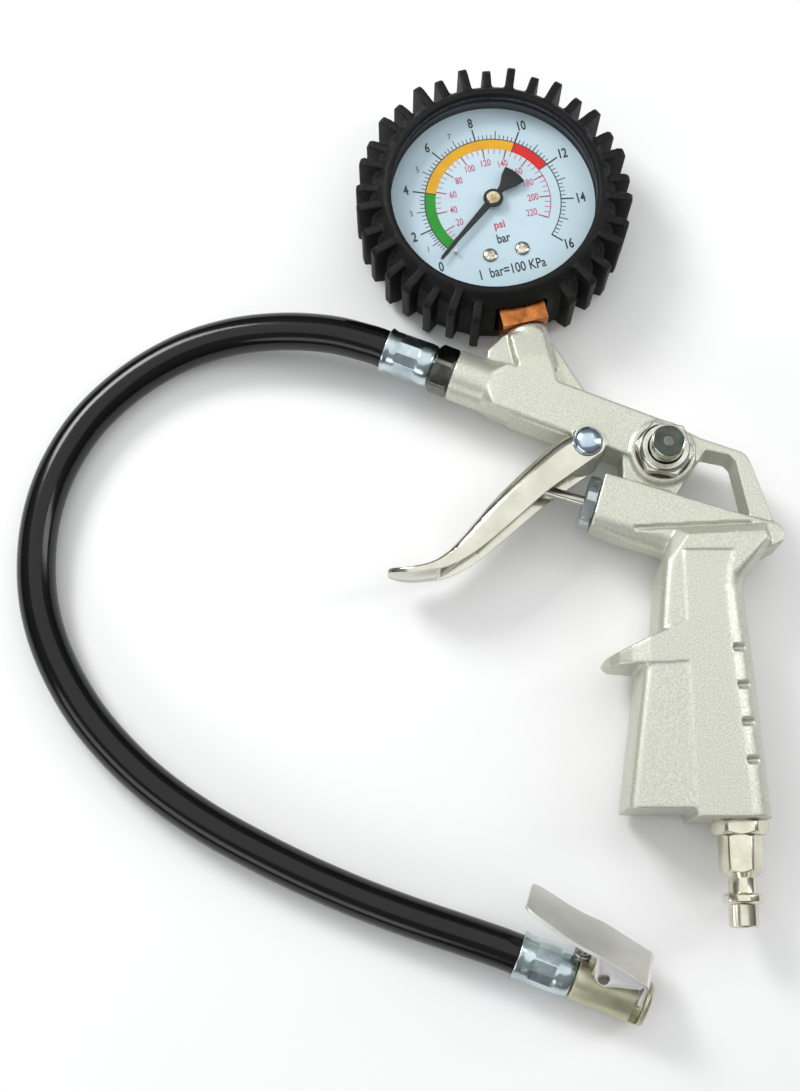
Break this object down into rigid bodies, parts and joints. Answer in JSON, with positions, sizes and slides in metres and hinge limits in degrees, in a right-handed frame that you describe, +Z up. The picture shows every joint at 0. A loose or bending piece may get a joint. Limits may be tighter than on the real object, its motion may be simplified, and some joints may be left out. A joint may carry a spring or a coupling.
{
  "type": "tyre inflator",
  "caption": "Pistol-grip tyre inflator with a boxed dial gauge in a ribbed boot, squeeze lever, bleed button, air plug, and a hose ending in a clip-on chuck.",
  "frame": {"origin": "on the surface it lies on, under the middle of the box round the pistol body, gauge and inlet plug, without the hose and chuck", "axes": "+Z up out of the gauge's face, -Y down the grip to the inlet plug, -X the side the hose leaves"},
  "size_m": [0.2255, 0.2858, 0.0326],
  "materials": {
    "casting": "fine sand-textured silver-grey enamel on a zinc-aluminium die casting",
    "boot": "matt black moulded rubber",
    "case_steel": "black enamelled steel",
    "bezel_steel": "dark blue-grey semi-gloss",
    "lens": "clear moulded window",
    "seal_rubber": "black nitrile rubber",
    "stem_copper": "coppery brass, lightly tarnished",
    "dial_face": "satin printed aluminium, pale blue-white",
    "plated_screw": "bright nickel plate",
    "movement_brass": "satin brass",
    "pointer_black": "satin black",
    "hub_brass": "pale nickelled brass, turned",
    "nickel_lever": "polished nickel plate on pressed steel",
    "zinc_rivet": "bright blue zinc plate",
    "bright_steel": "ground steel",
    "spring_steel": "drawn spring wire",
    "zinc_nut": "blue zinc plate",
    "valve_brass": "turned brass",
    "nickel_bleed": "satin nickel plate, turned",
    "washer_fibre": "red vulcanised fibre",
    "button_black": "black moulded plastic",
    "nickel_fitting": "warm nickel plate",
    "dark_zinc": "dark zinc plate",
    "zinc_ferrule": "bright blue zinc plate, crimped",
    "hose_rubber": "glossy black extruded rubber",
    "nickel_chuck": "warm nickel plate"
  },
  "bodies": {
    "body": {"gun_casting": "casting", "gauge_boot": "boot", "gauge_case": "case_steel", "gauge_bezel": "bezel_steel", "gauge_lens": "lens", "lens_gasket": "seal_rubber", "gauge_socket": "stem_copper", "dial_plate": "dial_face", "dial_screws": "plated_screw", "stop_pin": "plated_screw", "bourdon_tube": "movement_brass", "movement_plates": "movement_brass", "movement_pillars": "movement_brass", "trigger_rivet": "zinc_rivet", "valve_spring": "spring_steel", "packing_nut": "zinc_nut", "pin_seal": "seal_rubber", "guide_bush": "valve_brass", "valve_seat": "valve_brass", "bleed_body": "nickel_bleed", "bleed_washer": "washer_fibre", "bleed_spring": "spring_steel", "inlet_adapter": "nickel_fitting", "inlet_plug": "nickel_fitting", "hose_nipple": "dark_zinc", "gun_ferrule": "zinc_ferrule", "hose": "hose_rubber", "chuck_ferrule": "zinc_ferrule", "chuck_barb": "nickel_fitting", "chuck_body": "nickel_chuck", "chuck_seal": "seal_rubber", "valve_depressor": "valve_brass", "chuck_lever_pin": "bright_steel", "chuck_spring": "spring_steel"},
    "needle": {"pointer": "pointer_black", "pointer_hub": "hub_brass", "pinion_arbor": "movement_brass", "hairspring": "movement_brass"},
    "sector": {"sector_gear": "movement_brass"},
    "link": {"movement_link": "movement_brass"},
    "trigger": {"trigger_lever": "nickel_lever"},
    "valve_pin": {"push_pin": "bright_steel", "valve_poppet": "seal_rubber"},
    "bleed_plunger": {"bleed_button": "button_black", "bleed_stem": "bright_steel", "bleed_seal": "seal_rubber"},
    "chuck_clip": {"chuck_lever": "nickel_lever"}
  },
  "joints": [
    {"name": "needle_turn", "type": "hinge", "parent": "body", "child": "needle", "pos_m": [-0.0205, 0.0876, 0.02], "axis": [0, 0, -1], "range_deg": [0, 250]},
    {"name": "sector_turn", "type": "hinge", "parent": "body", "child": "sector", "pos_m": [-0.01828, 0.07797, 0.011], "axis": [0, 0, 1], "range_deg": [0, 42]},
    {"name": "link_turn", "type": "hinge", "parent": "sector", "child": "link", "pos_m": [-0.01903, 0.07263, 0.012], "axis": [0, 0, 1], "range_deg": [-42, 0]},
    {"name": "trigger_squeeze", "type": "hinge", "parent": "body", "child": "trigger", "pos_m": [0.006, 0.0088, 0.0135], "axis": [0, 0, 1], "range_deg": [0, 10], "stiffness_Nm_per_rad": 1.2, "springref_deg": -6.88},
    {"name": "valve_push", "type": "slide", "parent": "body", "child": "valve_pin", "axis": [0.9563, -0.2924, 0], "range_m": [0, 0.0039], "deforming": ["valve_spring"]},
    {"name": "bleed_press", "type": "slide", "parent": "body", "child": "bleed_plunger", "axis": [0, 0, -1], "range_m": [0, 0.0025], "stiffness_N_per_m": 900, "springref_m": -0.002, "deforming": ["bleed_spring"]},
    {"name": "chuck_lever_press", "type": "hinge", "parent": "body", "child": "chuck_clip", "pos_m": [0.00842, -0.13904, 0.01289], "axis": [-0.2304, -0.6001, 0.766], "range_deg": [0, 12], "stiffness_Nm_per_rad": 0.6, "springref_deg": -11.46, "deforming": ["chuck_spring"]}
  ],
  "couplings": [
    {"joint": "sector_turn", "follows": "needle_turn", "ratio": 0.16667},
    {"joint": "link_turn", "follows": "needle_turn", "ratio": -0.16667},
    {"joint": "valve_push", "follows": "trigger_squeeze", "m_per_rad": 0.0218}
  ]
}
